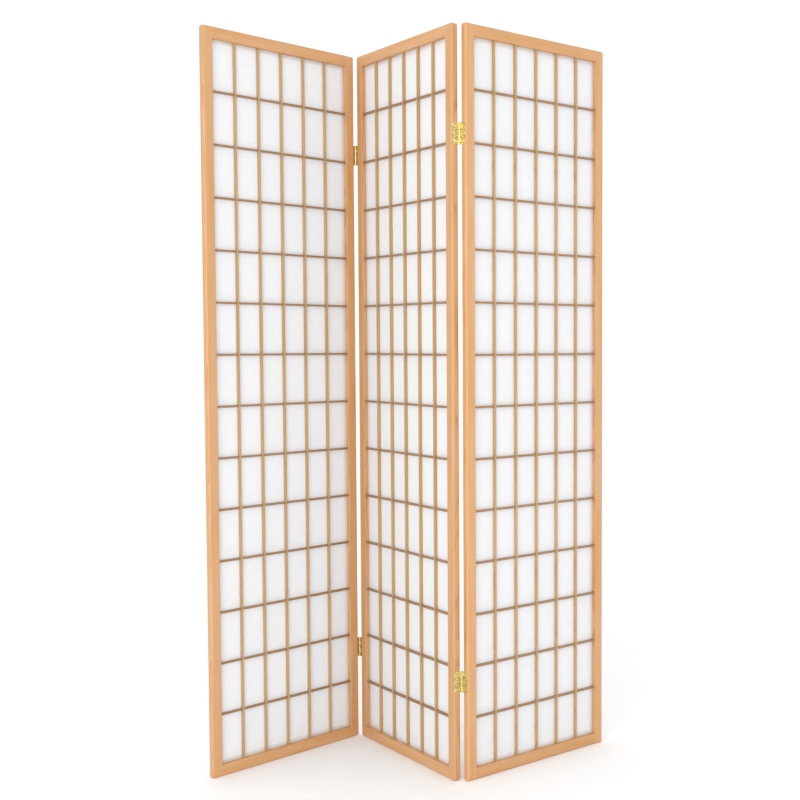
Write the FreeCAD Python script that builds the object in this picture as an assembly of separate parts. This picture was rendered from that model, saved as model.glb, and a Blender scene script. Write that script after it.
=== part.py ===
"""Three-panel folding screen: wooden frames with a window-pane lattice over paper, on pierced butt hinges.

Row frame: millimetres, +Z up, origin on the floor under the middle of the footprint, +X along the zigzag,
-Y towards the viewer's side, where the lattice shows. Each panel is modelled in its own frame first:
x along its width from its left edge, y from its front face (0) to its back face, z up from the floor.
"""

import FreeCAD, Part
import math
import os

from FreeCAD import Placement, Rotation, Vector

# ---- driving dimensions, mm and degrees ----
PANEL_WIDTH = 432.0
PANEL_HEIGHT = 1784.0
PANEL_DEPTH = 19.0
STILE_WIDTH = 25.0
RAIL_HEIGHT = 28.0
OUTER_ROUND = 4.5            # rounding of the frame's outer edges
INNER_ROUND = 1.0            # easing of the frame's edges round the opening
TENON_LENGTH = 15.0          # rail tenon, let into the stile
TENON_DEPTH = 7.0
TENON_SHOULDER = 5.0         # wood left above and below a tenon

PANE_COLUMNS = 6
PANE_ROWS = 14
UPRIGHT_WIDTH = 4.5          # face width of an upright lattice bar
CROSSBAR_HEIGHT = 4.5        # face height of a lattice crossbar
LATTICE_DEPTH = 8.0
LATTICE_RECESS = 4.0         # lattice front behind the frame front
LATTICE_TENON = 4.0          # bar ends let into the frame
PAPER_THICKNESS = 0.3
BEAD_WIDTH = 7.0             # strips that hold the paper from behind
BEAD_SETBACK = 0.5           # bead back face inside the frame's back face

LEFT_FOLD = 97.0             # how far each outer panel is turned from in line with the centre one, at rest
RIGHT_FOLD = 90.5
HINGE_FROM_FLOOR = 238.0     # hinge centre heights
HINGE_FROM_TOP = 253.0

HINGE_HEIGHT = 50.0
KNUCKLE_COUNT = 5
KNUCKLE_RADIUS = 2.5
KNUCKLE_GAP = 0.3            # clear height between neighbouring knuckles
PIN_RADIUS = 1.25
PIN_CLEARANCE = 0.05         # radial, in the knuckles that turn on the pin
PIN_HEAD_RADIUS = 2.0
PIN_HEAD_HEIGHT = 1.6
AXIS_PROUD = 2.0             # hinge axis in front of the face that it folds towards
LEAF_THICKNESS = 1.2
LEAF_REACH = 20.5            # from the hinge axis to the tips of the leaf's lobes
PLATE_FROM_AXIS = 2.6        # the flat starts here, clear of the other leaf's knuckles at every fold
LOBE_COUNT = 3
SLOT_INNER_RADIUS = 4.2      # crescent piercings round each screw
SLOT_OUTER_RADIUS = 6.0
SLOT_SWEEP = 110.0
EYE_RADIUS = 1.7             # round piercings between the lobes
EYE_FROM_FACE = 4.2

SCREW_RADIUS = 1.2
SCREW_LENGTH = 12.0
SCREW_POINT = 3.0
SCREW_HEAD_RADIUS = 2.6
SCREW_CROWN = 0.7            # domed part of the head, proud of the leaf
SCREW_SLOT_WIDTH = 0.6
SCREW_SLOT_DEPTH = 0.5

# ---- worked out from them ----
OPENING_WIDTH = PANEL_WIDTH - 2 * STILE_WIDTH
OPENING_HEIGHT = PANEL_HEIGHT - 2 * RAIL_HEIGHT
UPRIGHTS = PANE_COLUMNS - 1
CROSSBARS = PANE_ROWS - 1
PANE_WIDTH = (OPENING_WIDTH - UPRIGHTS * UPRIGHT_WIDTH) / PANE_COLUMNS
PANE_HEIGHT = (OPENING_HEIGHT - CROSSBARS * CROSSBAR_HEIGHT) / PANE_ROWS
PAPER_FRONT = LATTICE_RECESS + LATTICE_DEPTH
BEAD_FRONT = PAPER_FRONT + PAPER_THICKNESS
BEAD_DEPTH = PANEL_DEPTH - BEAD_SETBACK - BEAD_FRONT
AXIS_FROM_EDGE = KNUCKLE_RADIUS      # the leaf's wood side is tangent to its knuckles
LOBE_RADIUS = HINGE_HEIGHT / LOBE_COUNT / 2
LOBE_CENTRE = LEAF_REACH - LOBE_RADIUS
LOBE_HEIGHTS = [(2 * i + 1) * LOBE_RADIUS for i in range(LOBE_COUNT)]
KNUCKLE_PITCH = HINGE_HEIGHT / KNUCKLE_COUNT
HINGE_BASES = {
    "lower": HINGE_FROM_FLOOR - HINGE_HEIGHT / 2,
    "upper": PANEL_HEIGHT - HINGE_FROM_TOP - HINGE_HEIGHT / 2,
}
UP = Vector(0, 0, 1)


def box(x0, x1, y0, y1, z0, z1):
    return Part.makeBox(x1 - x0, y1 - y0, z1 - z0, Vector(x0, y0, z0))


def upright_span(index):
    """Left and right side of an upright lattice bar, counted from the left."""
    left = STILE_WIDTH + (index + 1) * PANE_WIDTH + index * UPRIGHT_WIDTH
    return left, left + UPRIGHT_WIDTH


def crossbar_span(index):
    """Underside and top of a lattice crossbar, counted from the bottom."""
    low = RAIL_HEIGHT + (index + 1) * PANE_HEIGHT + index * CROSSBAR_HEIGHT
    return low, low + CROSSBAR_HEIGHT


# ---- frame: two stiles and two rails, joined with mortises and tenons ----
def frame_blank():
    """The whole frame in one piece, with its rounded outer and eased inner edges."""
    slab = Part.makeBox(PANEL_WIDTH, PANEL_DEPTH, PANEL_HEIGHT)
    slab = slab.makeFillet(OUTER_ROUND, slab.Edges)
    opening = box(STILE_WIDTH, PANEL_WIDTH - STILE_WIDTH, -1, PANEL_DEPTH + 1,
                  RAIL_HEIGHT, PANEL_HEIGHT - RAIL_HEIGHT)
    ring = slab.cut(opening)
    inside = Part.makeBox(OPENING_WIDTH + 1, PANEL_DEPTH + 1, OPENING_HEIGHT + 1,
                          Vector(STILE_WIDTH - 0.5, -0.5, RAIL_HEIGHT - 0.5))
    arrises = []
    for edge in ring.Edges:
        middle = edge.CenterOfMass
        on_a_face = min(abs(middle.y), abs(middle.y - PANEL_DEPTH)) < 0.01
        if on_a_face and inside.isInside(middle, 0.01, True):
            arrises.append(edge)
    return ring.makeFillet(INNER_ROUND, arrises)


def tenons():
    """The four rail tenons, two for each rail, as (rail, side, solid)."""
    middle = PANEL_DEPTH / 2
    found = []
    for rail, floor in (("bottom", 0.0), ("top", PANEL_HEIGHT - RAIL_HEIGHT)):
        for side, root in (("left", STILE_WIDTH - TENON_LENGTH), ("right", PANEL_WIDTH - STILE_WIDTH)):
            solid = box(root, root + TENON_LENGTH, middle - TENON_DEPTH / 2, middle + TENON_DEPTH / 2,
                        floor + TENON_SHOULDER, floor + RAIL_HEIGHT - TENON_SHOULDER)
            found.append((rail, side, solid))
    return found


def lattice_mortises(side):
    """Blocks to cut from a stile or rail, one for each lattice bar that ends in it."""
    front, back = LATTICE_RECESS, PAPER_FRONT
    blocks = []
    if side in ("left", "right"):
        root = STILE_WIDTH - LATTICE_TENON if side == "left" else PANEL_WIDTH - STILE_WIDTH
        for index in range(CROSSBARS):
            low, high = crossbar_span(index)
            blocks.append(box(root, root + LATTICE_TENON, front, back, low, high))
    else:
        root = RAIL_HEIGHT - LATTICE_TENON if side == "bottom" else PANEL_HEIGHT - RAIL_HEIGHT
        for index in range(UPRIGHTS):
            left, right = upright_span(index)
            blocks.append(box(left, right, front, back, root, root + LATTICE_TENON))
    return blocks


def frame_members():
    blank = frame_blank()
    inner_left, inner_right = STILE_WIDTH, PANEL_WIDTH - STILE_WIDTH
    rooms = {
        "left_stile": box(-1, inner_left, -1, PANEL_DEPTH + 1, -1, PANEL_HEIGHT + 1),
        "right_stile": box(inner_right, PANEL_WIDTH + 1, -1, PANEL_DEPTH + 1, -1, PANEL_HEIGHT + 1),
        "bottom_rail": box(inner_left, inner_right, -1, PANEL_DEPTH + 1, -1, RAIL_HEIGHT + 1),
        "top_rail": box(inner_left, inner_right, -1, PANEL_DEPTH + 1,
                        PANEL_HEIGHT - RAIL_HEIGHT - 1, PANEL_HEIGHT + 1),
    }
    members = {name: blank.common(room) for name, room in rooms.items()}
    for rail, side, solid in tenons():
        members[rail + "_rail"] = members[rail + "_rail"].fuse(solid)
        members[side + "_stile"] = members[side + "_stile"].cut(solid)
    for name in members:
        members[name] = members[name].cut(lattice_mortises(name.split("_")[0])).removeSplitter()
    return members


# ---- lattice: bars halved over each other, flush on both faces ----
def notched_outline(start, end, notches, solid_depth, notch_depth):
    """Stepped outline as (length, depth) pairs: solid_depth side straight, notch_depth side stepped in."""
    half = (LATTICE_RECESS + PAPER_FRONT) / 2
    outline = [(start, solid_depth), (end, solid_depth), (end, notch_depth)]
    for low, high in reversed(notches):
        outline += [(high, notch_depth), (high, half), (low, half), (low, notch_depth)]
    outline.append((start, notch_depth))
    return outline


def bar_from_outline(outline, place, extrusion):
    points = [place(along, depth) for along, depth in outline]
    return Part.Face(Part.makePolygon(points + points[:1])).extrude(extrusion)


def upright(index):
    """An upright bar, notched from the back where it passes over the crossbars."""
    left, _ = upright_span(index)
    notches = [crossbar_span(i) for i in range(CROSSBARS)]
    outline = notched_outline(RAIL_HEIGHT - LATTICE_TENON, PANEL_HEIGHT - RAIL_HEIGHT + LATTICE_TENON,
                              notches, LATTICE_RECESS, PAPER_FRONT)
    return bar_from_outline(outline, lambda z, y: Vector(left, y, z), Vector(UPRIGHT_WIDTH, 0, 0))


def crossbar(index):
    """A crossbar, notched from the front where the uprights pass over it."""
    low, _ = crossbar_span(index)
    notches = [upright_span(i) for i in range(UPRIGHTS)]
    outline = notched_outline(STILE_WIDTH - LATTICE_TENON, PANEL_WIDTH - STILE_WIDTH + LATTICE_TENON,
                              notches, PAPER_FRONT, LATTICE_RECESS)
    return bar_from_outline(outline, lambda x, y: Vector(x, y, low), Vector(0, 0, CROSSBAR_HEIGHT))


def paper_sheet():
    return box(STILE_WIDTH, PANEL_WIDTH - STILE_WIDTH, PAPER_FRONT, BEAD_FRONT,
               RAIL_HEIGHT, PANEL_HEIGHT - RAIL_HEIGHT)


def paper_beads():
    """Two side beads over the full opening and a top and a bottom bead between them."""
    left, right = STILE_WIDTH, PANEL_WIDTH - STILE_WIDTH
    low, high = RAIL_HEIGHT, PANEL_HEIGHT - RAIL_HEIGHT
    back = BEAD_FRONT + BEAD_DEPTH
    return Part.makeCompound([
        box(left, left + BEAD_WIDTH, BEAD_FRONT, back, low, high),
        box(right - BEAD_WIDTH, right, BEAD_FRONT, back, low, high),
        box(left + BEAD_WIDTH, right - BEAD_WIDTH, BEAD_FRONT, back, low, low + BEAD_WIDTH),
        box(left + BEAD_WIDTH, right - BEAD_WIDTH, BEAD_FRONT, back, high - BEAD_WIDTH, high),
    ])


# ---- hinge, in its own frame: pin axis on Z, wood at x = AXIS_FROM_EDGE, leaf reaching along +y ----
def across_leaf(radius, y, z, x0, x1):
    return Part.makeCylinder(radius, x1 - x0, Vector(x0, y, z), Vector(1, 0, 0))


def crescent(z, facing):
    """A curved slot on one side of a screw, cut through the leaf. facing is +1 above it and -1 below."""
    x0 = AXIS_FROM_EDGE - LEAF_THICKNESS - 1
    half = math.radians(SLOT_SWEEP / 2)
    centre = Vector(x0, LOBE_CENTRE, z)

    def at(radius, angle):
        return centre + Vector(0, radius * math.sin(angle), facing * radius * math.cos(angle))

    outer = Part.Arc(at(SLOT_OUTER_RADIUS, -half), at(SLOT_OUTER_RADIUS, 0), at(SLOT_OUTER_RADIUS, half))
    inner = Part.Arc(at(SLOT_INNER_RADIUS, half), at(SLOT_INNER_RADIUS, 0), at(SLOT_INNER_RADIUS, -half))
    ends = (Part.LineSegment(at(SLOT_OUTER_RADIUS, half), at(SLOT_INNER_RADIUS, half)),
            Part.LineSegment(at(SLOT_INNER_RADIUS, -half), at(SLOT_OUTER_RADIUS, -half)))
    wire = Part.Wire([outer.toShape(), ends[0].toShape(), inner.toShape(), ends[1].toShape()])
    return Part.Face(wire).extrude(Vector(LEAF_THICKNESS + 2, 0, 0))


def leaf_plate():
    """The flat of the leaf: a strip and three round lobes, pierced round the screws."""
    x0, x1 = AXIS_FROM_EDGE - LEAF_THICKNESS, AXIS_FROM_EDGE
    plate = box(x0, x1, PLATE_FROM_AXIS, LOBE_CENTRE, 0, HINGE_HEIGHT)
    plate = plate.fuse([across_leaf(LOBE_RADIUS, LOBE_CENTRE, z, x0, x1) for z in LOBE_HEIGHTS])
    holes = []
    for z in LOBE_HEIGHTS:
        seat = Part.makeCone(SCREW_HEAD_RADIUS, SCREW_RADIUS, LEAF_THICKNESS,
                             Vector(x0, LOBE_CENTRE, z), Vector(1, 0, 0))
        holes += [seat, crescent(z, 1), crescent(z, -1)]
    for low, high in zip(LOBE_HEIGHTS, LOBE_HEIGHTS[1:]):
        eye = across_leaf(EYE_RADIUS, AXIS_PROUD + EYE_FROM_FACE, (low + high) / 2, x0 - 1, x1 + 1)
        holes.append(eye)
    return plate.cut(holes).removeSplitter()


def leaf(knuckles, bore_radius):
    """A leaf with its rolled knuckles. Plate and knuckles are one stamped piece."""
    body = leaf_plate()
    bores = []
    for index in knuckles:
        low = index * KNUCKLE_PITCH + KNUCKLE_GAP / 2
        height = KNUCKLE_PITCH - KNUCKLE_GAP
        barrel = Part.makeCylinder(KNUCKLE_RADIUS, height, Vector(0, 0, low))
        neck = box(AXIS_FROM_EDGE - LEAF_THICKNESS, AXIS_FROM_EDGE, 0, PLATE_FROM_AXIS, low, low + height)
        bores.append(Part.makeCylinder(bore_radius, height + 2, Vector(0, 0, low - 1)))
        body = body.fuse([barrel, neck])
    return body.cut(bores).removeSplitter()


def hinge_pin():
    rod = Part.makeCylinder(PIN_RADIUS, HINGE_HEIGHT)
    heads = []
    for z, up in ((HINGE_HEIGHT - KNUCKLE_GAP / 2, 1), (KNUCKLE_GAP / 2, -1)):
        head = Part.makeCone(PIN_HEAD_RADIUS, PIN_RADIUS * 0.6, PIN_HEAD_HEIGHT,
                             Vector(0, 0, z), Vector(0, 0, up))
        heads.append(head)
    return rod.fuse(heads).removeSplitter()


def screw(z):
    """A countersunk wood screw with a low crown and a straight slot, driven along +x."""
    plate_face = AXIS_FROM_EDGE - LEAF_THICKNESS
    along = Vector(1, 0, 0)
    sphere_radius = (SCREW_HEAD_RADIUS ** 2 + SCREW_CROWN ** 2) / (2 * SCREW_CROWN)
    ball = Part.makeSphere(sphere_radius, Vector(plate_face - SCREW_CROWN + sphere_radius, LOBE_CENTRE, z))
    cap_room = box(plate_face - SCREW_CROWN - 1, plate_face, LOBE_CENTRE - 4, LOBE_CENTRE + 4, z - 4, z + 4)
    crown = ball.common(cap_room)
    sink = Part.makeCone(SCREW_HEAD_RADIUS, SCREW_RADIUS, LEAF_THICKNESS, Vector(plate_face, LOBE_CENTRE, z), along)
    shank = Part.makeCylinder(SCREW_RADIUS, SCREW_LENGTH - SCREW_POINT,
                              Vector(AXIS_FROM_EDGE, LOBE_CENTRE, z), along)
    point = Part.makeCone(SCREW_RADIUS, 0.2, SCREW_POINT,
                          Vector(AXIS_FROM_EDGE + SCREW_LENGTH - SCREW_POINT, LOBE_CENTRE, z), along)
    slot_floor = plate_face - SCREW_CROWN + SCREW_SLOT_DEPTH
    slot = box(plate_face - SCREW_CROWN - 1, slot_floor, LOBE_CENTRE - 4, LOBE_CENTRE + 4,
               z - SCREW_SLOT_WIDTH / 2, z + SCREW_SLOT_WIDTH / 2)
    return crown.fuse([sink, shank, point]).cut(slot).removeSplitter()


def screw_holes():
    """The parts of the three screws that are in the wood, to cut from a stile."""
    depth = SCREW_LENGTH + 1
    wood = box(AXIS_FROM_EDGE, AXIS_FROM_EDGE + depth, 0, LEAF_REACH, 0, HINGE_HEIGHT)
    return [screw(z).common(wood) for z in LOBE_HEIGHTS]


def hinge_pieces():
    """Both leaves, the pin and one leaf's screws. The fixed leaf grips the pin; the moving one turns on it."""
    all_knuckles = list(range(KNUCKLE_COUNT))
    return {
        "fixed_leaf": leaf(all_knuckles[0::2], PIN_RADIUS),
        "moving_leaf": leaf(all_knuckles[1::2], PIN_RADIUS + PIN_CLEARANCE),
        "pin": hinge_pin(),
        "screws": Part.makeCompound([screw(z) for z in LOBE_HEIGHTS]),
    }


def on_edge(shape, side, folds_to, base):
    """Puts a hinge piece on a panel's left or right edge, with its axis at the front or the back face."""
    placed = shape.copy()
    if side == "right":
        placed = placed.mirror(Vector(0, 0, 0), Vector(1, 0, 0))
    if folds_to == "back":
        placed = placed.mirror(Vector(0, 0, 0), Vector(0, 1, 0))
    axis_x = -AXIS_FROM_EDGE if side == "left" else PANEL_WIDTH + AXIS_FROM_EDGE
    axis_y = -AXIS_PROUD if folds_to == "front" else PANEL_DEPTH + AXIS_PROUD
    return placed.translated(Vector(axis_x, axis_y, base))


# Each fold: the outer panel, the centre panel's edge and the outer panel's edge that meet, and the face
# that they fold towards. The folds go opposite ways, so the screen stands in a zigzag.
FOLDS = {
    "left": {"outer": "left_panel", "centre_edge": "left", "outer_edge": "right", "folds_to": "front"},
    "right": {"outer": "right_panel", "centre_edge": "right", "outer_edge": "left", "folds_to": "back"},
}


def build_panel(edges_with_hinges):
    """All the wooden and paper pieces of one panel. edges_with_hinges lists (edge, face folded to)."""
    pieces = frame_members()
    for side, folds_to in edges_with_hinges:
        for base in HINGE_BASES.values():
            holes = [on_edge(hole, side, folds_to, base) for hole in screw_holes()]
            pieces[side + "_stile"] = pieces[side + "_stile"].cut(holes)
    for index in range(UPRIGHTS):
        pieces[f"upright_{index + 1}"] = upright(index)
    pieces["crossbars"] = Part.makeCompound([crossbar(i) for i in range(CROSSBARS)])
    pieces["paper"] = paper_sheet()
    pieces["paper_beads"] = paper_beads()
    return pieces


def build_screen():
    """Every node as {name: (panel, shape in that panel's frame)}."""
    hinged = {"left_panel": [("right", "front")],
              "centre_panel": [("left", "front"), ("right", "back")],
              "right_panel": [("left", "back")]}
    nodes = {}
    for panel, edges in hinged.items():
        for piece, shape in build_panel(edges).items():
            nodes[f"{panel}_{piece}"] = (panel, shape)
    hinge = hinge_pieces()
    for fold, facts in FOLDS.items():
        for level, base in HINGE_BASES.items():
            name = f"{fold}_{level}_hinge"
            centre_side = (facts["centre_edge"], facts["folds_to"], base)
            outer_side = (facts["outer_edge"], facts["folds_to"], base)
            nodes[f"{name}_fixed_leaf"] = ("centre_panel", on_edge(hinge["fixed_leaf"], *centre_side))
            nodes[f"{name}_pin"] = ("centre_panel", on_edge(hinge["pin"], *centre_side))
            nodes[f"{name}_fixed_leaf_screws"] = ("centre_panel", on_edge(hinge["screws"], *centre_side))
            nodes[f"{name}_moving_leaf"] = (facts["outer"], on_edge(hinge["moving_leaf"], *outer_side))
            nodes[f"{name}_moving_leaf_screws"] = (facts["outer"], on_edge(hinge["screws"], *outer_side))
    return nodes


# ---- where the panels stand ----
def hinge_axis_on(edge, folds_to):
    """The hinge axis in the plan of a panel's own frame."""
    x = -AXIS_FROM_EDGE if edge == "left" else PANEL_WIDTH + AXIS_FROM_EDGE
    y = -AXIS_PROUD if folds_to == "front" else PANEL_DEPTH + AXIS_PROUD
    return Vector(x, y, 0)


def placed_at(point_in_panel, point_in_row, turn):
    """The placement that turns a panel about Z and brings one of its points to a point of the row frame."""
    rotation = Rotation(UP, turn)
    return Placement(point_in_row - rotation.multVec(point_in_panel), rotation)


def panel_placements():
    centre_turn = -LEFT_FOLD / 2
    centre = placed_at(Vector(0, 0, 0), Vector(0, 0, 0), centre_turn)
    turns = {"left": centre_turn + LEFT_FOLD, "right": centre_turn + RIGHT_FOLD}
    placements = {"centre_panel": centre}
    axes = {}
    for fold, facts in FOLDS.items():
        axis = centre.multVec(hinge_axis_on(facts["centre_edge"], facts["folds_to"]))
        on_outer = hinge_axis_on(facts["outer_edge"], facts["folds_to"])
        placements[facts["outer"]] = placed_at(on_outer, axis, turns[fold])
        axes[fold] = axis
    return placements, axes


def main():
    placements, axes = panel_placements()
    shapes = {}
    for name, (panel, shape) in build_screen().items():
        placed = shape.copy()
        placed.Placement = placements[panel].multiply(placed.Placement)
        shapes[name] = placed
    bounds = Part.makeCompound(list(shapes.values())).optimalBoundingBox(False, False)
    to_origin = Vector(-bounds.Center.x, -bounds.Center.y, 0)
    os.makedirs("parts", exist_ok=True)
    for name, shape in shapes.items():
        shape.translated(to_origin).exportStep(f"parts/{name}.step")
    print("size", bounds.XLength, bounds.YLength, bounds.ZLength, "lowest", bounds.ZMin)
    for fold, axis in axes.items():
        print(fold, "fold axis", axis + to_origin)
    for panel, placement in placements.items():
        middle = placement.multVec(Vector(PANEL_WIDTH / 2, PANEL_DEPTH / 2, 0)) + to_origin
        print(panel, "bottom centre", middle, "turned", math.degrees(placement.Rotation.Angle))
    print(len(shapes), "nodes")


main()
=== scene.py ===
"""The looks of a three-panel folding screen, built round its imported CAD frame.

Laid out as an add-on: sizes and colours are properties, each group of like pieces has its operator, and
the sidebar panel lists them. Lengths are metres. Each panel is made in its own frame first (x along its
width from its left edge, y from its front face to its back face, z up) and its mesh is then turned into the
frame of the whole row.
"""

import math
import random

import bmesh
import bpy
from mathutils import Matrix, Vector, noise


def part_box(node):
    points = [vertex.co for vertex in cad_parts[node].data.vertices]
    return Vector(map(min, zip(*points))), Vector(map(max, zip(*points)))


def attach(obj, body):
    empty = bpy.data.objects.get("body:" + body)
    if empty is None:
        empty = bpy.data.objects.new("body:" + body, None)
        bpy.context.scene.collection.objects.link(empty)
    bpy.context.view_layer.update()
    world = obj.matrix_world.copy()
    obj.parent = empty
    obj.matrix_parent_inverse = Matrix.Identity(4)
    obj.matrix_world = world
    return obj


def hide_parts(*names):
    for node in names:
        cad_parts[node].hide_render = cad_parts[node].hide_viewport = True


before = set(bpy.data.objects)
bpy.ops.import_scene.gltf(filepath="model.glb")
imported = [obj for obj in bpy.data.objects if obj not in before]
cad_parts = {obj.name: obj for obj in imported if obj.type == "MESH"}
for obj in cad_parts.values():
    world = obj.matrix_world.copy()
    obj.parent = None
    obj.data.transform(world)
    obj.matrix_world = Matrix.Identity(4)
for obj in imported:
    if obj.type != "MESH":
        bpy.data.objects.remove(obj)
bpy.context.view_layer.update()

bl_info = {
    "name": "Folding Screen",
    "version": (1, 0, 0),
    "blender": (4, 5, 0),
    "location": "3D View > Sidebar > Screen",
    "description": "Builds the boards, lattice, paper and hinges of a folding screen on its CAD frame",
    "category": "Add Mesh",
}

PANELS = ("left_panel", "centre_panel", "right_panel")
MM = 0.001
TOUCH = 1e-6                 # two coordinates closer than this are the same
LEVEL_GAP = 0.1 * MM         # vertices of a CAD piece closer than this are on one level
SMOOTH_BELOW = math.radians(40)      # faces that meet at less than this are shaded as one surface
OUTER_SEGMENTS = 6           # facets of the round along a panel's outer edges
INNER_SEGMENTS = 3           # facets of the small rounds along the opening and the beads
BEVEL_SEGMENTS = 2           # facets of the fine bevels
COCKLE = 45 * MM             # from one cockle of the paper to the next
COCKLE_SHARE = 0.5           # how much the cockles change the bow of a pane
LEAST_BOW = 0.45             # bow of the tightest pane, as a share of the slackest one's
PANE_COLUMNS, PANE_ROWS = 8, 10      # faces of the paper across and up each pane
FLOOR_REACH = 40.0           # half the width of the floor, so far that its edge is the horizon
FLOOR_CELLS = 8

# first seed of each kind of piece, which the tones and rings of the wood and the bow of the panes follow
BOARD_SEED = 310
UPRIGHT_SEED, CROSSBAR_SEED, PAPER_SEED, BEAD_SEED = 40, 50, 60, 70

# how dark the wood is through one year's growth, from its start to its end
YEAR = ((0.0, 0.30), (0.08, 0.0), (0.45, 0.10), (0.80, 0.55), (0.93, 1.0), (1.0, 0.30))
PLATE_ROUGHNESS, TURNED_ROUGHNESS = 0.24, 0.16


# ---- where the CAD pieces are, in each panel's own frame ----
def corners_of(node, into):
    """Lowest and highest corners of a CAD node's vertices after the matrix into."""
    points = [into @ v.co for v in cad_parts[node].data.vertices]
    low = Vector(min(p[i] for p in points) for i in range(3))
    high = Vector(max(p[i] for p in points) for i in range(3))
    return low, high


def levels_of(node, axis, into):
    """The different places along an axis where a node has vertices, in order."""
    found = []
    for value in sorted((into @ v.co)[axis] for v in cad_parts[node].data.vertices):
        if not found or value - found[-1] > LEVEL_GAP:
            found.append(value)
    return found


def middle_of(node):
    low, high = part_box(node)
    return (low + high) / 2


def uprights_of(panel):
    return sorted(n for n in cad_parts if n.startswith(panel + "_upright_"))


def panel_matrix(panel):
    """From the panel's own frame to the row frame. Its direction is that of its row of uprights."""
    uprights = uprights_of(panel)
    along = middle_of(uprights[-1]) - middle_of(uprights[0])
    turn = Matrix.Rotation(math.atan2(along.y, along.x), 4, "Z")
    corner, _ = corners_of(panel + "_left_stile", turn.inverted())
    return turn @ Matrix.Translation(corner)


MATRICES = {panel: panel_matrix(panel) for panel in PANELS}


def local_box(panel, piece):
    return corners_of(f"{panel}_{piece}", MATRICES[panel].inverted())


# the three panels are alike, so the sizes are read from the centre one
_, RIGHT_STILE_HIGH = local_box("centre_panel", "right_stile")
PAPER_LOW, PAPER_HIGH = local_box("centre_panel", "paper")
FIRST_LOW, FIRST_HIGH = local_box("centre_panel", "upright_1")
SECOND_LOW, _ = local_box("centre_panel", "upright_2")
BEADS_LOW, BEADS_HIGH = local_box("centre_panel", "paper_beads")
WIDTH, DEPTH, HEIGHT = RIGHT_STILE_HIGH
OPENING_LEFT, OPENING_RIGHT = PAPER_LOW.x, PAPER_HIGH.x
OPENING_LOW, OPENING_HIGH = PAPER_LOW.z, PAPER_HIGH.z
UPRIGHT_COUNT = len(uprights_of("centre_panel"))
UPRIGHT_WIDTH = FIRST_HIGH.x - FIRST_LOW.x
UPRIGHT_STEP = SECOND_LOW.x - FIRST_LOW.x
LATTICE_FRONT, LATTICE_BACK = FIRST_LOW.y, FIRST_HIGH.y
BAR_LEVELS = levels_of("centre_panel_crossbars", 2, MATRICES["centre_panel"].inverted())
BAR_COUNT = len(BAR_LEVELS) // 2
BAR_HEIGHT = BAR_LEVELS[1] - BAR_LEVELS[0]
BAR_STEP = BAR_LEVELS[2] - BAR_LEVELS[0]
BEAD_LEVELS = levels_of("centre_panel_paper_beads", 0, MATRICES["centre_panel"].inverted())
BEAD_WIDTH = BEAD_LEVELS[1] - BEAD_LEVELS[0]
HINGES = sorted(node[:-len("_pin")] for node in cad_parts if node.endswith("_hinge_pin"))


def upright_middles():
    return [FIRST_LOW.x + UPRIGHT_WIDTH / 2 + i * UPRIGHT_STEP for i in range(UPRIGHT_COUNT)]


def crossbar_middles():
    return [BAR_LEVELS[0] + BAR_HEIGHT / 2 + i * BAR_STEP for i in range(BAR_COUNT)]


# ---- colours and nodes ----
def linear(code):
    """An sRGB hex colour as linear red, green, blue and alpha."""
    parts = [int(code[i:i + 2], 16) / 255 for i in (1, 3, 5)]
    return [p / 12.92 if p <= 0.04045 else ((p + 0.055) / 1.055) ** 2.4 for p in parts] + [1.0]


def add(tree, kind, inputs=(), **settings):
    """Add a node with its settings. inputs holds a value or an output to link for each named input."""
    node = tree.nodes.new(kind)
    for name, value in settings.items():
        setattr(node, name, value)
    for socket, value in dict(inputs).items():
        if isinstance(value, bpy.types.NodeSocket):
            tree.links.new(value, node.inputs[socket])
        else:
            node.inputs[socket].default_value = value
    return node


MIX_A, MIX_B, MIXED = 6, 7, 2        # a Mix node's colour sockets, which share their names with others


def new_material(name):
    material = bpy.data.materials.new(name)
    material.use_nodes = True
    tree = material.node_tree
    tree.nodes.clear()
    return material, tree


def grey(value):
    return (value, value, value, 1.0)


def set_stops(ramp, stops):
    """Give a ramp its stops, each a position and a grey value."""
    elements = ramp.color_ramp.elements
    while len(elements) < len(stops):
        elements.new(1.0)
    for element, (position, value) in zip(elements, stops):
        element.position = position
        element.color = grey(value)


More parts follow.
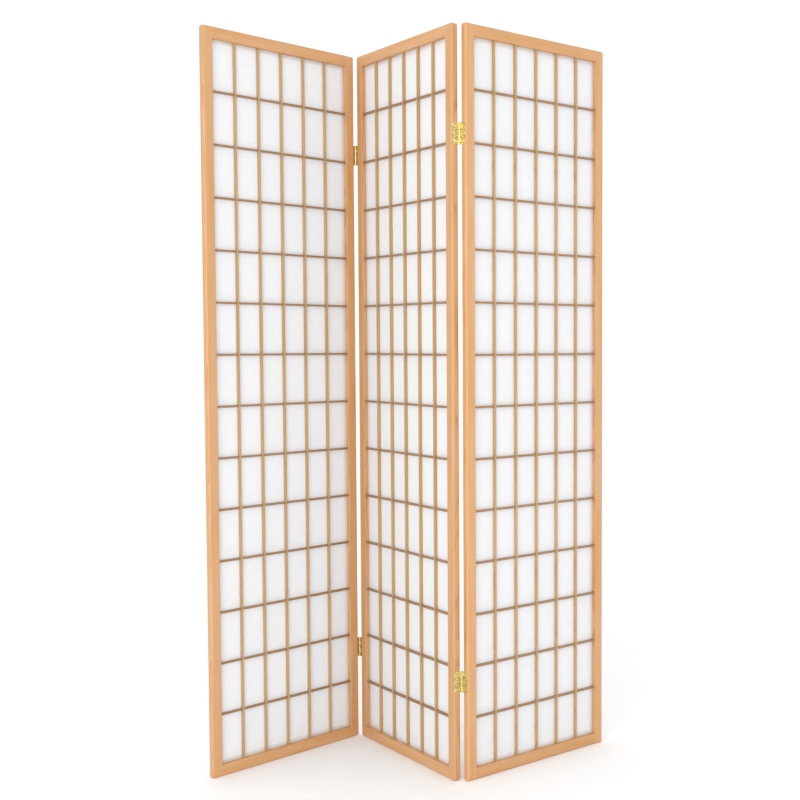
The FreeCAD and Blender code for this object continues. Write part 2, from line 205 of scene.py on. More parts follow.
# ---- what a user would change ----
class ScreenSizes(bpy.types.PropertyGroup):
    """Sizes of the fine shapes that the frame leaves open."""
    outer_round: bpy.props.FloatProperty(
        name="Outer round", description="Radius along a panel's outer edges", default=4.5 * MM,
        unit="LENGTH")
    inner_round: bpy.props.FloatProperty(
        name="Inner round", description="Radius along the edges of a panel's opening", default=1 * MM,
        unit="LENGTH")
    joint_groove: bpy.props.FloatProperty(
        name="Joint groove", description="Bevel round a rail's end, which draws the joint's fine line",
        default=0.2 * MM, unit="LENGTH")
    joint_lap: bpy.props.FloatProperty(
        name="Joint lap", description="How far a rail's end laps over the round along a stile",
        default=0.75 * MM, unit="LENGTH")
    bar_ease: bpy.props.FloatProperty(
        name="Bar ease", description="Bevel along a lattice bar's edges", default=0.35 * MM, unit="LENGTH")
    lap_play: bpy.props.FloatProperty(
        name="Lap play", description="Gap at each side of a bar in its halving joint", default=0.06 * MM,
        unit="LENGTH")
    bar_entry: bpy.props.FloatProperty(
        name="Bar entry", description="How far a bar's end goes into the frame", default=0.3 * MM,
        unit="LENGTH")
    bead_ease: bpy.props.FloatProperty(
        name="Bead ease", description="Round along a paper bead's edges", default=0.8 * MM, unit="LENGTH")
    pane_bow: bpy.props.FloatProperty(
        name="Pane bow", description="How far the paper bellies back in the middle of a pane",
        default=0.35 * MM, unit="LENGTH")
    ring_width: bpy.props.FloatProperty(
        name="Ring width", description="Width of one year's growth in the wood", default=2.6 * MM,
        unit="LENGTH")
    slip_ring_width: bpy.props.FloatProperty(
        name="Slip ring width", description="Width of one year's growth in the thin bars and beads",
        default=1.7 * MM, unit="LENGTH")


class ScreenColours(bpy.types.PropertyGroup):
    """Colours of the finishes."""
    earlywood: bpy.props.FloatVectorProperty(
        name="Earlywood", description="Pale wood of spring growth",
        subtype="COLOR", size=4, min=0.0, max=1.0, default=linear("#CC9C6B"))
    latewood: bpy.props.FloatVectorProperty(
        name="Latewood", description="Darker wood of late summer growth",
        subtype="COLOR", size=4, min=0.0, max=1.0, default=linear("#AF7544"))
    # Painted shade: the slips colour and the slip latewood are darker than the frame's wood. They stand in
    # for the shade that falls on the sides of the lattice bars.
    slips_painted_shade: bpy.props.FloatVectorProperty(
        name="Slips", description="Pale wood of the thin uprights and beads",
        subtype="COLOR", size=4, min=0.0, max=1.0, default=linear("#BD9866"))
    slip_latewood_painted_shade: bpy.props.FloatVectorProperty(
        name="Slip latewood", description="Growth lines in the thin uprights and beads",
        subtype="COLOR", size=4, min=0.0, max=1.0, default=linear("#9C7344"))
    # Painted shade: the crossbars colour and the crossbar latewood are darker and browner than the
    # uprights'. They stand in for the shade on the crossbars' upper and lower sides, and the wood itself is
    # the same as the uprights'.
    crossbars: bpy.props.FloatVectorProperty(
        name="Crossbars", description="Browner wood of the crossbars",
        subtype="COLOR", size=4, min=0.0, max=1.0, default=linear("#98744C"))
    crossbar_latewood_painted_shade: bpy.props.FloatVectorProperty(
        name="Crossbar latewood", description="Growth lines in the crossbars",
        subtype="COLOR", size=4, min=0.0, max=1.0, default=linear("#775330"))
    paper: bpy.props.FloatVectorProperty(
        name="Paper", description="Body of the paper",
        subtype="COLOR", size=4, min=0.0, max=1.0, default=linear("#EFF0F2"))
    fibre: bpy.props.FloatVectorProperty(
        name="Fibre", description="Long fibres in the paper",
        subtype="COLOR", size=4, min=0.0, max=1.0, default=linear("#F7F7F8"))
    brass: bpy.props.FloatVectorProperty(
        name="Brass", description="Bright brass plate",
        subtype="COLOR", size=4, min=0.0, max=1.0, default=linear("#F6EAAC"))
    # Painted dark reflection and shade: this dark olive brass is laid in random specks over the hinges. It
    # stands in for dark things mirrored in the brass and for the shade in its piercings.
    brass_painted_dark_reflection_and_shade: bpy.props.FloatVectorProperty(
        name="Worn brass", description="Brass plate where it has dulled",
        subtype="COLOR", size=4, min=0.0, max=1.0, default=linear("#8E7A32"))
    floor: bpy.props.FloatVectorProperty(
        name="Floor", description="Studio floor",
        subtype="COLOR", size=4, min=0.0, max=1.0, default=linear("#F8F8F8"))


class ScreenStage(bpy.types.PropertyGroup):
    """The studio."""
    camera_place: bpy.props.FloatVectorProperty(
        name="Camera place", description="Where the camera stands", subtype="TRANSLATION",
        default=(0.4443, -2.8828, 1.0442))
    camera_turn: bpy.props.FloatProperty(
        name="Camera turn", description="Turn of the camera to the left of straight on", subtype="ANGLE",
        default=math.radians(1.55))
    camera_pitch: bpy.props.FloatProperty(
        name="Camera pitch", description="How far the camera looks down", subtype="ANGLE",
        default=math.radians(2.81))
    lens: bpy.props.FloatProperty(
        name="Lens", description="Focal length on a sensor 36 mm wide", default=52.35, unit="CAMERA")
    shift: bpy.props.FloatProperty(
        name="Shift", description="Sideways shift of the lens, in picture widths", default=-0.2)
    sky: bpy.props.FloatProperty(
        name="Sky", description="Strength of the even white light from all round", default=1.08)
    key: bpy.props.FloatProperty(
        name="Key", description="Power of the large soft light in front", default=45.0, unit="POWER")
    key_size: bpy.props.FloatProperty(
        name="Key size", description="Diameter of the soft light", default=2.4, unit="LENGTH")
    key_place: bpy.props.FloatVectorProperty(
        name="Key place", description="Where the soft light stands, aimed at the middle of the screen",
        subtype="TRANSLATION", default=(-0.4, -3.3, 1.0))


# ---- finishes ----
def varnished_spruce(name, ring_width, earlywood, latewood):
    """Spruce under a thin clear varnish, sanded smooth.

    Gives the eye a warm straw colour, fine darker growth lines along each board that end sharply on one
    side, short pale fibre streaks, a tone of its own on each board, and a soft satin gloss.
    """
    material, tree = new_material(name)
    grain = add(tree, "ShaderNodeAttribute", attribute_name="grain").outputs["Vector"]
    board = add(tree, "ShaderNodeAttribute", attribute_name="board").outputs["Fac"]
    # every board reads the noises at its own place in the fourth dimension
    fourth = add(tree, "ShaderNodeMath", {0: board, 1: 70.0}, operation="MULTIPLY").outputs[0]

    def long_spots(across, along, detail, roughness=0.5):
        """Noise whose spots are across wide and along long, in metres."""
        stretch = (1 / across, 1 / across, 1 / along)
        spots = add(tree, "ShaderNodeVectorMath", {0: grain, 1: stretch}, operation="MULTIPLY").outputs[0]
        return add(tree, "ShaderNodeTexNoise",
                   {"Vector": spots, "W": fourth, "Scale": 1.0, "Detail": detail, "Roughness": roughness},
                   noise_dimensions="4D")

    # the rings stand round a pith outside the board, which wanders by up to 13 mm along its length
    drift = long_spots(55 * MM, 420 * MM, 1.0).outputs["Color"]
    wander = add(tree, "ShaderNodeVectorMath", {0: drift, 1: (-0.5, -0.5, -0.5)}, operation="ADD")
    wander = add(tree, "ShaderNodeVectorMath", {0: wander.outputs[0], "Scale": 26 * MM}, operation="SCALE")
    aside = add(tree, "ShaderNodeMapRange", {"Value": board, "To Min": 34 * MM, "To Max": 78 * MM})
    behind = add(tree, "ShaderNodeMapRange", {"Value": board, "To Min": 52 * MM, "To Max": -20 * MM})
    pith = add(tree, "ShaderNodeCombineXYZ", {"X": aside.outputs[0], "Y": behind.outputs[0]})
    in_log = add(tree, "ShaderNodeVectorMath", {0: grain, 1: pith.outputs[0]}, operation="ADD")
    in_log = add(tree, "ShaderNodeVectorMath", {0: in_log.outputs[0], 1: wander.outputs[0]}, operation="ADD")
    # a little of the height is kept, because a trunk tapers
    in_log = add(tree, "ShaderNodeVectorMath", {0: in_log.outputs[0], 1: (1.0, 1.0, 0.004)},
                 operation="MULTIPLY")
    radius = add(tree, "ShaderNodeVectorMath", {0: in_log.outputs[0]}, operation="LENGTH")
    years = add(tree, "ShaderNodeMath", {0: radius.outputs["Value"], 1: 1 / ring_width},
                operation="MULTIPLY")
    season = add(tree, "ShaderNodeMath", {0: years.outputs[0]}, operation="FRACT")
    late = add(tree, "ShaderNodeValToRGB", {"Fac": season.outputs[0]})
    set_stops(late, YEAR)

    # fibre streaks 0.3 mm wide and 9 mm long, and broad patches where the rings are strong or faint
    fibre = long_spots(0.30 * MM, 9 * MM, 2.0, 0.6).outputs["Fac"]
    patch = long_spots(16 * MM, 190 * MM, 2.0).outputs["Fac"]
    strength = add(tree, "ShaderNodeMapRange",
                   {"Value": patch, "From Min": 0.3, "From Max": 0.7, "To Min": 0.25, "To Max": 0.95})
    lateness = add(tree, "ShaderNodeMath", {0: late.outputs["Color"], 1: strength.outputs[0]},
                   operation="MULTIPLY")
    wood = add(tree, "ShaderNodeMix", {0: lateness.outputs[0], MIX_A: earlywood, MIX_B: latewood},
               data_type="RGBA")
    streak = add(tree, "ShaderNodeMapRange",
                 {"Value": fibre, "From Min": 0.3, "From Max": 0.7, "To Min": 0.955, "To Max": 1.035})
    tone = add(tree, "ShaderNodeMapRange", {"Value": board, "To Min": 0.95, "To Max": 1.05})
    value = add(tree, "ShaderNodeMath", {0: streak.outputs[0], 1: tone.outputs[0]}, operation="MULTIPLY")
    warmth = add(tree, "ShaderNodeMapRange",
                 {"Value": patch, "From Min": 0.25, "From Max": 0.75, "To Min": 0.94, "To Max": 1.07})
    wood = add(tree, "ShaderNodeHueSaturation",
               {"Color": wood.outputs[MIXED], "Saturation": warmth.outputs[0], "Value": value.outputs[0]})
    gloss = add(tree, "ShaderNodeMapRange",
                {"Value": fibre, "From Min": 0.3, "From Max": 0.7, "To Min": 0.50, "To Max": 0.40})
    relief = add(tree, "ShaderNodeMath", {0: lateness.outputs[0], 1: fibre}, operation="ADD")
    # sanded grain stands about 0.02 mm proud
    bump = add(tree, "ShaderNodeBump", {"Height": relief.outputs[0], "Strength": 0.6, "Distance": 0.02 * MM})
    shader = add(tree, "ShaderNodeBsdfPrincipled",
                 {"Base Color": wood.outputs["Color"], "Roughness": gloss.outputs[0], "IOR": 1.5,
                  "Coat Weight": 0.18, "Coat Roughness": 0.22, "Normal": bump.outputs[0]})
    add(tree, "ShaderNodeOutputMaterial", {"Surface": shader.outputs[0]})
    return material


def laid_paper(name):
    """White rice paper, laminated so that it is smooth and lets some light through.

    Gives the eye a flat, slightly cool white with faint long fibres that cross each other, and a glow when
    it is lit from behind.
    """
    colours = bpy.context.scene.screen_colours
    material, tree = new_material(name)
    here = add(tree, "ShaderNodeTexCoord").outputs["Object"]

    def fibres(size, share):
        """Thin curling lines, where a noise with spots of a size is within a share of its middle value."""
        spots = add(tree, "ShaderNodeTexNoise", {"Vector": here, "Scale": 1 / size, "Detail": 2.0})
        off = add(tree, "ShaderNodeMath", {0: spots.outputs["Fac"], 1: 0.5}, operation="SUBTRACT")
        off = add(tree, "ShaderNodeMath", {0: off.outputs[0]}, operation="ABSOLUTE")
        return add(tree, "ShaderNodeMapRange",
                   {"Value": off.outputs[0], "From Min": 0.0, "From Max": share,
                    "To Min": 1.0, "To Max": 0.0})

    # fibres about 0.4 mm wide, some 20 mm and 8 mm from one to the next
    sparse = fibres(20 * MM, 0.016)
    close = fibres(8 * MM, 0.030)
    strands = add(tree, "ShaderNodeMath", {0: sparse.outputs[0], 1: close.outputs[0]}, operation="MAXIMUM")
    cloud = add(tree, "ShaderNodeTexNoise", {"Vector": here, "Scale": 1 / (3 * MM), "Detail": 3.0})
    share = add(tree, "ShaderNodeMath", {0: strands.outputs[0], 1: cloud.outputs["Fac"]},
                operation="MULTIPLY")
    colour = add(tree, "ShaderNodeMix", {0: share.outputs[0], MIX_A: colours.paper, MIX_B: colours.fibre},
                 data_type="RGBA")
    bump = add(tree, "ShaderNodeBump", {"Height": share.outputs[0], "Strength": 0.5, "Distance": 0.03 * MM})
    face = add(tree, "ShaderNodeBsdfPrincipled",
               {"Base Color": colour.outputs[MIXED], "Roughness": 0.62, "IOR": 1.45,
                "Normal": bump.outputs[0]})
    through = add(tree, "ShaderNodeBsdfTranslucent", {"Color": colour.outputs[MIXED]})
    # three tenths of the light goes through
    both = add(tree, "ShaderNodeMixShader", {0: 0.3, 1: face.outputs[0], 2: through.outputs[0]})
    add(tree, "ShaderNodeOutputMaterial", {"Surface": both.outputs[0]})
    return material


def bright_brass(name, roughness):
    """Thin steel plated with bright brass, stamped and tumbled.

    Gives the eye a light yellow gold that mirrors the room softly, with darker, rougher specks of painted
    dark reflection and shade, and very fine pits.
    """
    colours = bpy.context.scene.screen_colours
    material, tree = new_material(name)
    here = add(tree, "ShaderNodeTexCoord").outputs["Object"]
    # Painted dark reflection and shade: this noise marks where darker brass specks are painted. The same
    # noise makes those specks rougher, which is real dullness.
    dull_spots_and_painted_reflection = add(tree, "ShaderNodeTexNoise", {"Vector": here, "Scale": 1 / (2.5 * MM), "Detail": 3.0})
    share = add(tree, "ShaderNodeMapRange",
                {"Value": dull_spots_and_painted_reflection.outputs["Fac"], "From Min": 0.46, "From Max": 0.62,
                 "To Min": 0.0, "To Max": 0.85})
    colour = add(tree, "ShaderNodeMix",
                 {0: share.outputs[0], MIX_A: colours.brass, MIX_B: colours.brass_painted_dark_reflection_and_shade}, data_type="RGBA")
    gloss = add(tree, "ShaderNodeMapRange",
                {"Value": dull_spots_and_painted_reflection.outputs["Fac"], "From Min": 0.3, "From Max": 0.75,
                 "To Min": roughness, "To Max": roughness + 0.14})
    pits = add(tree, "ShaderNodeTexNoise", {"Vector": here, "Scale": 1 / (0.5 * MM), "Detail": 2.0})
    bump = add(tree, "ShaderNodeBump",
               {"Height": pits.outputs["Fac"], "Strength": 0.4, "Distance": 0.01 * MM})
    shader = add(tree, "ShaderNodeBsdfPrincipled",
                 {"Base Color": colour.outputs[MIXED], "Metallic": 1.0, "Roughness": gloss.outputs[0],
                  "Normal": bump.outputs[0]})
    add(tree, "ShaderNodeOutputMaterial", {"Surface": shader.outputs[0]})
    return material


def painted_floor(name):
    """Matt white paint on a studio floor, rolled on: a soft, even ground with hardly any gloss."""
    colours = bpy.context.scene.screen_colours
    material, tree = new_material(name)
    here = add(tree, "ShaderNodeTexCoord").outputs["Object"]
    roll = add(tree, "ShaderNodeTexNoise", {"Vector": here, "Scale": 1 / (4 * MM), "Detail": 2.0})
    bump = add(tree, "ShaderNodeBump",
               {"Height": roll.outputs["Fac"], "Strength": 0.2, "Distance": 0.05 * MM})
    shader = add(tree, "ShaderNodeBsdfPrincipled",
                 {"Base Color": colours.floor, "Roughness": 0.8, "Normal": bump.outputs[0]})
    add(tree, "ShaderNodeOutputMaterial", {"Surface": shader.outputs[0]})
    return material


def finish_of(name, make, *values):
    """The material of a name, made the first time it is asked for."""
    return bpy.data.materials.get(name) or make(name, *values)


def slip_finish_painted_shade():
    """The finish of the uprights and beads, cut from closer grown wood, its colours darkened with painted
    shade for the shaded sides of the lattice bars.
    """
    scene = bpy.context.scene
    return finish_of("Varnished spruce slips", varnished_spruce, scene.screen_sizes.slip_ring_width,
                     scene.screen_colours.slips_painted_shade, scene.screen_colours.slip_latewood_painted_shade)


def crossbar_finish_painted_shade():
    """The finish of the crossbars, darker and browner than the uprights that they cross, with painted shade
    for the crossbars' shaded sides.
    """
    scene = bpy.context.scene
    # The material Varnished spruce crossbars carries the painted shade of the crossbar colours.
    return finish_of("Varnished spruce crossbars", varnished_spruce, scene.screen_sizes.slip_ring_width,
                     scene.screen_colours.crossbars, scene.screen_colours.crossbar_latewood_painted_shade)


# ---- shapes ----
def block(low, high):
    """A plain bmesh block between two corners, to be shaped further."""
    shape = bmesh.new()
    bmesh.ops.create_cube(shape, size=1.0)
    for vert in shape.verts:
        vert.co = [low[i] + (vert.co[i] + 0.5) * (high[i] - low[i]) for i in range(3)]
    return shape


def planes_with(edge, planes):
    """How many of the planes, each an axis and a value, hold both ends of an edge."""
    return sum(all(abs(v.co[axis] - value) < TOUCH for v in edge.verts) for axis, value in planes)


def round_edges(shape, edges, radius, segments):
    bmesh.ops.bevel(shape, geom=edges, offset=radius, offset_type="OFFSET", segments=segments,
                    profile=0.5, affect="EDGES", clamp_overlap=True)


def wood_mesh(name, shapes, seed):
    """One mesh from bmesh boards, with two attributes for their finish.

    grain is each point's place, with the third axis along its board's grain. board is a random number, one
    for each board.
    """
    dice = random.Random(seed)
    points, faces, grain, boards = [], [], [], []
    for shape in shapes:
        shape.verts.index_update()
        spans = [max(v.co[i] for v in shape.verts) - min(v.co[i] for v in shape.verts) for i in range(3)]
        order = (2, 1, 0) if spans[0] > spans[2] else (0, 1, 2)
        first = len(points)
        points += [v.co.copy() for v in shape.verts]
        faces += [[first + v.index for v in face.verts] for face in shape.faces]
        grain += [v.co[i] for v in shape.verts for i in order]
        boards += [dice.random()] * len(shape.verts)
        shape.free()
    mesh = bpy.data.meshes.new(name)
    mesh.from_pydata(points, [], faces)
    mesh.attributes.new("grain", "FLOAT_VECTOR", "POINT").data.foreach_set("vector", grain)
    mesh.attributes.new("board", "FLOAT", "POINT").data.foreach_set("value", boards)
    mesh.shade_smooth()
    mesh.set_sharp_from_angle(angle=SMOOTH_BELOW)
    return mesh


def settle(piece):
    """Turn a piece's modifiers into plain mesh."""
    depsgraph = bpy.context.evaluated_depsgraph_get()
    mesh = bpy.data.meshes.new_from_object(piece.evaluated_get(depsgraph), depsgraph=depsgraph)
    piece.modifiers.clear()
    worked, piece.data = piece.data, mesh
    bpy.data.meshes.remove(worked)
    mesh.name = piece.name


def place(piece, panel, replaced):
    """Settle a piece made in its panel's frame, turn it into the row frame and hand it to its body."""
    piece.modifiers.new("even_normals", "WEIGHTED_NORMAL").keep_sharp = True
    settle(piece)
    piece.data.transform(MATRICES[panel])
    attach(piece, panel)
    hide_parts(*replaced)


def new_piece(name, data, material=None):
    """An object in the scene, holding a mesh, a lamp or a camera."""
    piece = bpy.data.objects.new(name, data)
    bpy.context.scene.collection.objects.link(piece)
    if material:
        data.materials.append(material)
    return piece


def stile_shape(outside, inside):
    """An upright of the frame, between its outside and inside x, with rounder edges on the outside."""
    sizes = bpy.context.scene.screen_sizes
    shape = block((min(outside, inside), 0, 0), (max(outside, inside), DEPTH, HEIGHT))
    outer = ((0, outside), (1, 0.0), (1, DEPTH), (2, 0.0), (2, HEIGHT))
    round_edges(shape, [e for e in shape.edges if planes_with(e, outer) == 2], sizes.outer_round,
                OUTER_SEGMENTS)
    inner = [e for e in shape.edges if planes_with(e, ((0, inside),))]
    round_edges(shape, inner, sizes.inner_round, INNER_SEGMENTS)
    return shape


def rail_shape(outside, inside):
    """A rail of the frame, between its outside and inside z.

    Its ends lap over the round of the stiles, which leaves a fine groove at each joint.
    """
    sizes = bpy.context.scene.screen_sizes
    left, right = OPENING_LEFT - sizes.joint_lap, OPENING_RIGHT + sizes.joint_lap
    shape = block((left, 0, min(outside, inside)), (right, DEPTH, max(outside, inside)))
    faces = ((1, 0.0), (1, DEPTH))
    for height, radius, segments in ((outside, sizes.outer_round, OUTER_SEGMENTS),
                                     (inside, sizes.inner_round, INNER_SEGMENTS)):
        edges = [e for e in shape.edges if planes_with(e, ((2, height),)) and planes_with(e, faces)]
        round_edges(shape, edges, radius, segments)
    ends = [e for e in shape.edges if planes_with(e, ((0, left), (0, right)))]
    round_edges(shape, ends, sizes.joint_groove, BEVEL_SEGMENTS)
    return shape


def notched_bar(length, width, notches, notch_width, notched_front):
    """A lattice bar along its first axis, notched to half its depth where the other bars cross it."""
    sizes = bpy.context.scene.screen_sizes
    middle = (LATTICE_FRONT + LATTICE_BACK) / 2
    plain, cut = (LATTICE_BACK, LATTICE_FRONT) if notched_front else (LATTICE_FRONT, LATTICE_BACK)
    half = notch_width / 2 + sizes.lap_play
    outline = [(0.0, plain), (0.0, cut)]
    for centre in notches:
        near, far = centre - half, centre + half
        outline += [(near, cut), (near, middle), (far, middle), (far, cut)]
    outline += [(length, cut), (length, plain)]
    shape = bmesh.new()
    side = shape.faces.new([shape.verts.new((along, depth, 0.0)) for along, depth in outline])
    sweep = bmesh.ops.extrude_face_region(shape, geom=[side])
    for vert in (item for item in sweep["geom"] if isinstance(item, bmesh.types.BMVert)):
        vert.co.z = width
    bmesh.ops.recalc_face_normals(shape, faces=shape.faces[:])
    skin = ((1, LATTICE_FRONT), (1, LATTICE_BACK))
    sides = ((2, 0.0), (2, width))
    round_edges(shape, [e for e in shape.edges if planes_with(e, skin) and planes_with(e, sides)],
                sizes.bar_ease, BEVEL_SEGMENTS)
    return shape


def stand_up(shape):
    """Turn a bar that lies along x so that it stands along z, with its width along x."""
    for vert in shape.verts:
        vert.co = vert.co.zyx
    bmesh.ops.recalc_face_normals(shape, faces=shape.faces[:])
    return shape


def bar_row_tree():
    """Nodes that set out copies of a bar along a line and give each its own board number."""
    tree = bpy.data.node_groups.new("Bar row", "GeometryNodeTree")
    for name, kind in (("Bar", "Geometry"), ("Count", "Int"), ("Start", "Vector"), ("Step", "Vector"),
                       ("Seed", "Int"), ("Finish", "Material")):
        tree.interface.new_socket(name, in_out="INPUT", socket_type="NodeSocket" + kind)
    tree.interface.new_socket("Row", in_out="OUTPUT", socket_type="NodeSocketGeometry")
    given = add(tree, "NodeGroupInput").outputs
    line = add(tree, "GeometryNodeMeshLine",
               {"Count": given["Count"], "Start Location": given["Start"], "Offset": given["Step"]})
    row = add(tree, "GeometryNodeInstanceOnPoints",
              {"Points": line.outputs["Mesh"], "Instance": given["Bar"]})
    number = add(tree, "FunctionNodeRandomValue", {"Seed": given["Seed"]}, data_type="FLOAT")
    row = add(tree, "GeometryNodeStoreNamedAttribute",
              {"Geometry": row.outputs["Instances"], "Name": "board", "Value": number.outputs[1]},
              data_type="FLOAT", domain="INSTANCE")
    row = add(tree, "GeometryNodeRealizeInstances", {"Geometry": row.outputs["Geometry"]})
    row = add(tree, "GeometryNodeSetMaterial",
              {"Geometry": row.outputs["Geometry"], "Material": given["Finish"]})
    add(tree, "NodeGroupOutput", {"Row": row.outputs["Geometry"]})
    return tree


def bar_row(name, shape, count, start, step, seed, finish):
    """A piece with a row of like bars, made by the nodes from one bar."""
    piece = new_piece(name, wood_mesh(name, [shape], seed))
    tree = bpy.data.node_groups.get("Bar row") or bar_row_tree()
    nodes = piece.modifiers.new("bar_row", "NODES")
    nodes.node_group = tree
    values = {"Count": count, "Start": start, "Step": step, "Seed": seed, "Finish": finish}
    for item in tree.interface.items_tree:
        if item.name in values:
            nodes[item.identifier] = values[item.name]
    return piece


def divided(lines, cuts):
    """Places from the first to the last line, each with its gap's number and its share of that gap."""
    places = [(low + (high - low) * i / cuts, gap, i / cuts)
              for gap, (low, high) in enumerate(zip(lines, lines[1:])) for i in range(cuts)]
    return places + [(lines[-1], len(lines) - 2, 1.0)]


def paper_sheet(name, seed):
    """The paper's front face, bellied back a little in each pane and faintly cockled."""
    bow = bpy.context.scene.screen_sizes.pane_bow
    dice = random.Random(seed)
    columns = [OPENING_LEFT] + upright_middles()
    rows = [OPENING_LOW] + crossbar_middles()
    across = divided(columns + [OPENING_RIGHT], PANE_COLUMNS)
    up = divided(rows + [OPENING_HIGH], PANE_ROWS)
    depths = [[dice.uniform(LEAST_BOW, 1.0) * bow for _ in columns] for _ in rows]
    points = []
    for z, row, v in up:
        for x, column, u in across:
            depth = depths[row][column] * math.sin(math.pi * u) * math.sin(math.pi * v)
            cockle = 1 + COCKLE_SHARE * noise.noise(Vector((x, seed, z)) / COCKLE)
            points.append((x, PAPER_LOW.y + depth * cockle, z))
    wide = len(across)
    faces = [(i, i + 1, i + 1 + wide, i + wide) for i in range(len(points) - wide) if (i + 1) % wide]
    mesh = bpy.data.meshes.new(name)
    mesh.from_pydata(points, [], faces)
    mesh.shade_smooth()
    return mesh


# ---- the pieces ----
class DIVIDER_OT_boards(bpy.types.Operator):
    """Make the stiles and rails of the three frames"""
    bl_idname = "divider.boards"
    bl_label = "Frame boards"

    def execute(self, context):
        ring = context.scene.screen_sizes.ring_width
        colours = context.scene.screen_colours
        finish = finish_of("Varnished spruce", varnished_spruce, ring, colours.earlywood, colours.latewood)
        shapes = {
            "left_stile": lambda: stile_shape(0.0, OPENING_LEFT),
            "right_stile": lambda: stile_shape(WIDTH, OPENING_RIGHT),
            "bottom_rail": lambda: rail_shape(0.0, OPENING_LOW),
            "top_rail": lambda: rail_shape(HEIGHT, OPENING_HIGH),
        }
        for number, panel in enumerate(PANELS):
            for order, (member, shape) in enumerate(shapes.items()):
                name = f"{panel}_{member}_board"
                piece = new_piece(name, wood_mesh(name, [shape()], BOARD_SEED + 10 * number + order), finish)
                place(piece, panel, [f"{panel}_{member}"])
        return {"FINISHED"}


class DIVIDER_OT_uprights(bpy.types.Operator):
    """Set out the thin uprights of each lattice"""
    bl_idname = "divider.uprights"
    bl_label = "Lattice uprights"

    def execute(self, context):
        sizes = context.scene.screen_sizes
        # The uprights get the slips' painted shade.
        finish = slip_finish_painted_shade()
        foot = OPENING_LOW - sizes.bar_entry
        notches = [middle - foot for middle in crossbar_middles()]
        length = OPENING_HIGH - OPENING_LOW + 2 * sizes.bar_entry
        for number, panel in enumerate(PANELS):
            bar = stand_up(notched_bar(length, UPRIGHT_WIDTH, notches, BAR_HEIGHT, notched_front=False))
            piece = bar_row(f"{panel}_upright_bars", bar, UPRIGHT_COUNT, (FIRST_LOW.x, 0, foot),
                            (UPRIGHT_STEP, 0, 0), UPRIGHT_SEED + number, finish)
            place(piece, panel, uprights_of(panel))
        return {"FINISHED"}


class DIVIDER_OT_crossbars(bpy.types.Operator):
    """Set out the crossbars of each lattice, which pass behind the uprights"""
    bl_idname = "divider.crossbars"
    bl_label = "Lattice crossbars"

    def execute(self, context):
        sizes = context.scene.screen_sizes
        # The crossbars get the painted shade of their colours.
        finish = crossbar_finish_painted_shade()
        left = OPENING_LEFT - sizes.bar_entry
        notches = [middle - left for middle in upright_middles()]
        length = OPENING_RIGHT - OPENING_LEFT + 2 * sizes.bar_entry
        for number, panel in enumerate(PANELS):
            bar = notched_bar(length, BAR_HEIGHT, notches, UPRIGHT_WIDTH, notched_front=True)
            piece = bar_row(f"{panel}_cross_bars", bar, BAR_COUNT, (left, 0, BAR_LEVELS[0]),
                            (0, 0, BAR_STEP), CROSSBAR_SEED + number, finish)
            place(piece, panel, [f"{panel}_crossbars"])
        return {"FINISHED"}


class DIVIDER_OT_paper(bpy.types.Operator):
    """Stretch a sheet of paper behind each lattice"""
    bl_idname = "divider.paper"
    bl_label = "Paper"

    def execute(self, context):
        finish = finish_of("Rice paper", laid_paper)
        for number, panel in enumerate(PANELS):
            name = f"{panel}_paper_sheet"
            piece = new_piece(name, paper_sheet(name, PAPER_SEED + number), finish)
            body = piece.modifiers.new("thickness", "SOLIDIFY")
            body.thickness = PAPER_HIGH.y - PAPER_LOW.y
            body.offset = -1.0
            place(piece, panel, [f"{panel}_paper"])
        return {"FINISHED"}


class DIVIDER_OT_beads(bpy.types.Operator):
    """Make the strips that hold each sheet of paper from behind"""
    bl_idname = "divider.beads"
    bl_label = "Paper beads"

    def execute(self, context):
        sizes = context.scene.screen_sizes
        # The beads share the slips' painted shade.
        finish = slip_finish_painted_shade()
        left, right = OPENING_LEFT + BEAD_WIDTH, OPENING_RIGHT - BEAD_WIDTH
        strips = (
            ((OPENING_LEFT, OPENING_LOW), (left, OPENING_HIGH)),
            ((right, OPENING_LOW), (OPENING_RIGHT, OPENING_HIGH)),
            ((left, OPENING_LOW), (right, OPENING_LOW + BEAD_WIDTH)),
            ((left, OPENING_HIGH - BEAD_WIDTH), (right, OPENING_HIGH)),
        )
        for number, panel in enumerate(PANELS):
            shapes = []
            for (x0, z0), (x1, z1) in strips:
                shape = block((x0, BEADS_LOW.y, z0), (x1, BEADS_HIGH.y, z1))
                back = [e for e in shape.edges if planes_with(e, ((1, BEADS_HIGH.y),))]
                round_edges(shape, back, sizes.bead_ease, INNER_SEGMENTS)
                shapes.append(shape)
            name = f"{panel}_bead_strips"
            piece = new_piece(name, wood_mesh(name, shapes, BEAD_SEED + number), finish)
            place(piece, panel, [f"{panel}_paper_beads"])
        return {"FINISHED"}


class DIVIDER_OT_hinges(bpy.types.Operator):
    """Plate the hinges, their pins and their screws"""
    bl_idname = "divider.hinges"
    bl_label = "Hinges"

    def execute(self, context):
        plate = finish_of("Bright brass plate", bright_brass, PLATE_ROUGHNESS)
        turned = finish_of("Turned brass", bright_brass, TURNED_ROUGHNESS)
        for hinge in HINGES:
            for part, finish in (("fixed_leaf", plate), ("moving_leaf", plate), ("pin", turned),
                                 ("fixed_leaf_screws", turned), ("moving_leaf_screws", turned)):
                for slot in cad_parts[f"{hinge}_{part}"].material_slots:
                    slot.material = finish
        return {"FINISHED"}


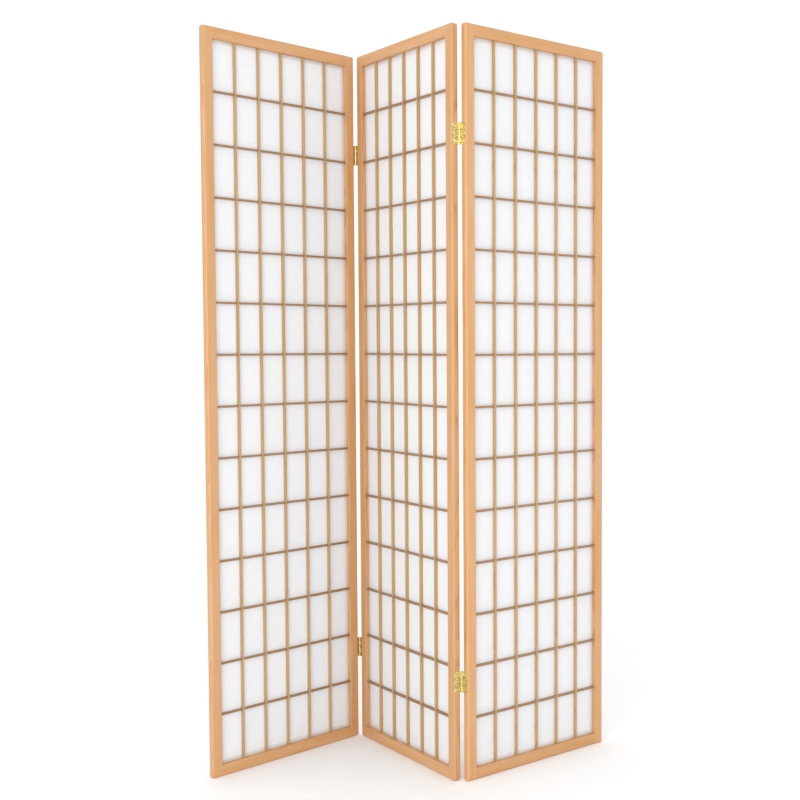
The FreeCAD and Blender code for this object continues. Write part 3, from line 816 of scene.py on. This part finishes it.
class DIVIDER_OT_stage(bpy.types.Operator):
    """Lay the floor, light the studio and set up the camera"""
    bl_idname = "divider.stage"
    bl_label = "Studio"

    def execute(self, context):
        stage = context.scene.screen_stage
        floor = bmesh.new()
        bmesh.ops.create_grid(floor, x_segments=FLOOR_CELLS, y_segments=FLOOR_CELLS, size=FLOOR_REACH)
        mesh = bpy.data.meshes.new("studio_floor")
        floor.to_mesh(mesh)
        floor.free()
        new_piece("studio_floor", mesh, finish_of("Matt white paint", painted_floor))

        world = bpy.data.worlds.new("Studio")
        world.use_nodes = True
        background = world.node_tree.nodes["Background"]
        background.inputs["Color"].default_value = grey(1.0)
        background.inputs["Strength"].default_value = stage.sky
        context.scene.world = world
        context.scene.view_settings.view_transform = "Standard"

        key = bpy.data.lights.new("key", "AREA")
        key.shape = "DISK"
        key.size = stage.key_size
        key.energy = stage.key
        lamp = new_piece("key", key)
        lamp.location = stage.key_place
        aim = Vector((0, 0, HEIGHT / 2)) - lamp.location
        lamp.rotation_euler = aim.to_track_quat("-Z", "Y").to_euler()

        camera = new_piece("camera", bpy.data.cameras.new("camera"))
        camera.location = stage.camera_place
        camera.rotation_euler = (math.pi / 2 - stage.camera_pitch, 0, stage.camera_turn)
        camera.data.lens = stage.lens
        camera.data.shift_x = stage.shift
        context.scene.camera = camera
        return {"FINISHED"}


class DIVIDER_PT_screen(bpy.types.Panel):
    """Lists the pieces in the order they are made"""
    bl_label = "Folding Screen"
    bl_space_type = "VIEW_3D"
    bl_region_type = "UI"
    bl_category = "Screen"

    def draw(self, context):
        scene = context.scene
        for group in (scene.screen_sizes, scene.screen_colours, scene.screen_stage):
            box = self.layout.box()
            for name in group.__annotations__:
                box.prop(group, name)
        for operator in OPERATORS:
            self.layout.operator(operator.bl_idname)


OPERATORS = (DIVIDER_OT_boards, DIVIDER_OT_uprights, DIVIDER_OT_crossbars, DIVIDER_OT_paper,
             DIVIDER_OT_beads, DIVIDER_OT_hinges, DIVIDER_OT_stage)
GROUPS = {"screen_sizes": ScreenSizes, "screen_colours": ScreenColours, "screen_stage": ScreenStage}


def register():
    for group in (*GROUPS.values(), *OPERATORS, DIVIDER_PT_screen):
        bpy.utils.register_class(group)
    for name, group in GROUPS.items():
        setattr(bpy.types.Scene, name, bpy.props.PointerProperty(type=group))


def unregister():
    for name in GROUPS:
        delattr(bpy.types.Scene, name)
    for group in (DIVIDER_PT_screen, *reversed(OPERATORS), *GROUPS.values()):
        bpy.utils.unregister_class(group)


def main():
    register()
    bpy.ops.divider.boards()
    bpy.ops.divider.uprights()
    bpy.ops.divider.crossbars()
    bpy.ops.divider.paper()
    bpy.ops.divider.beads()
    bpy.ops.divider.hinges()
    bpy.ops.divider.stage()


if __name__ == "__main__":
    main()
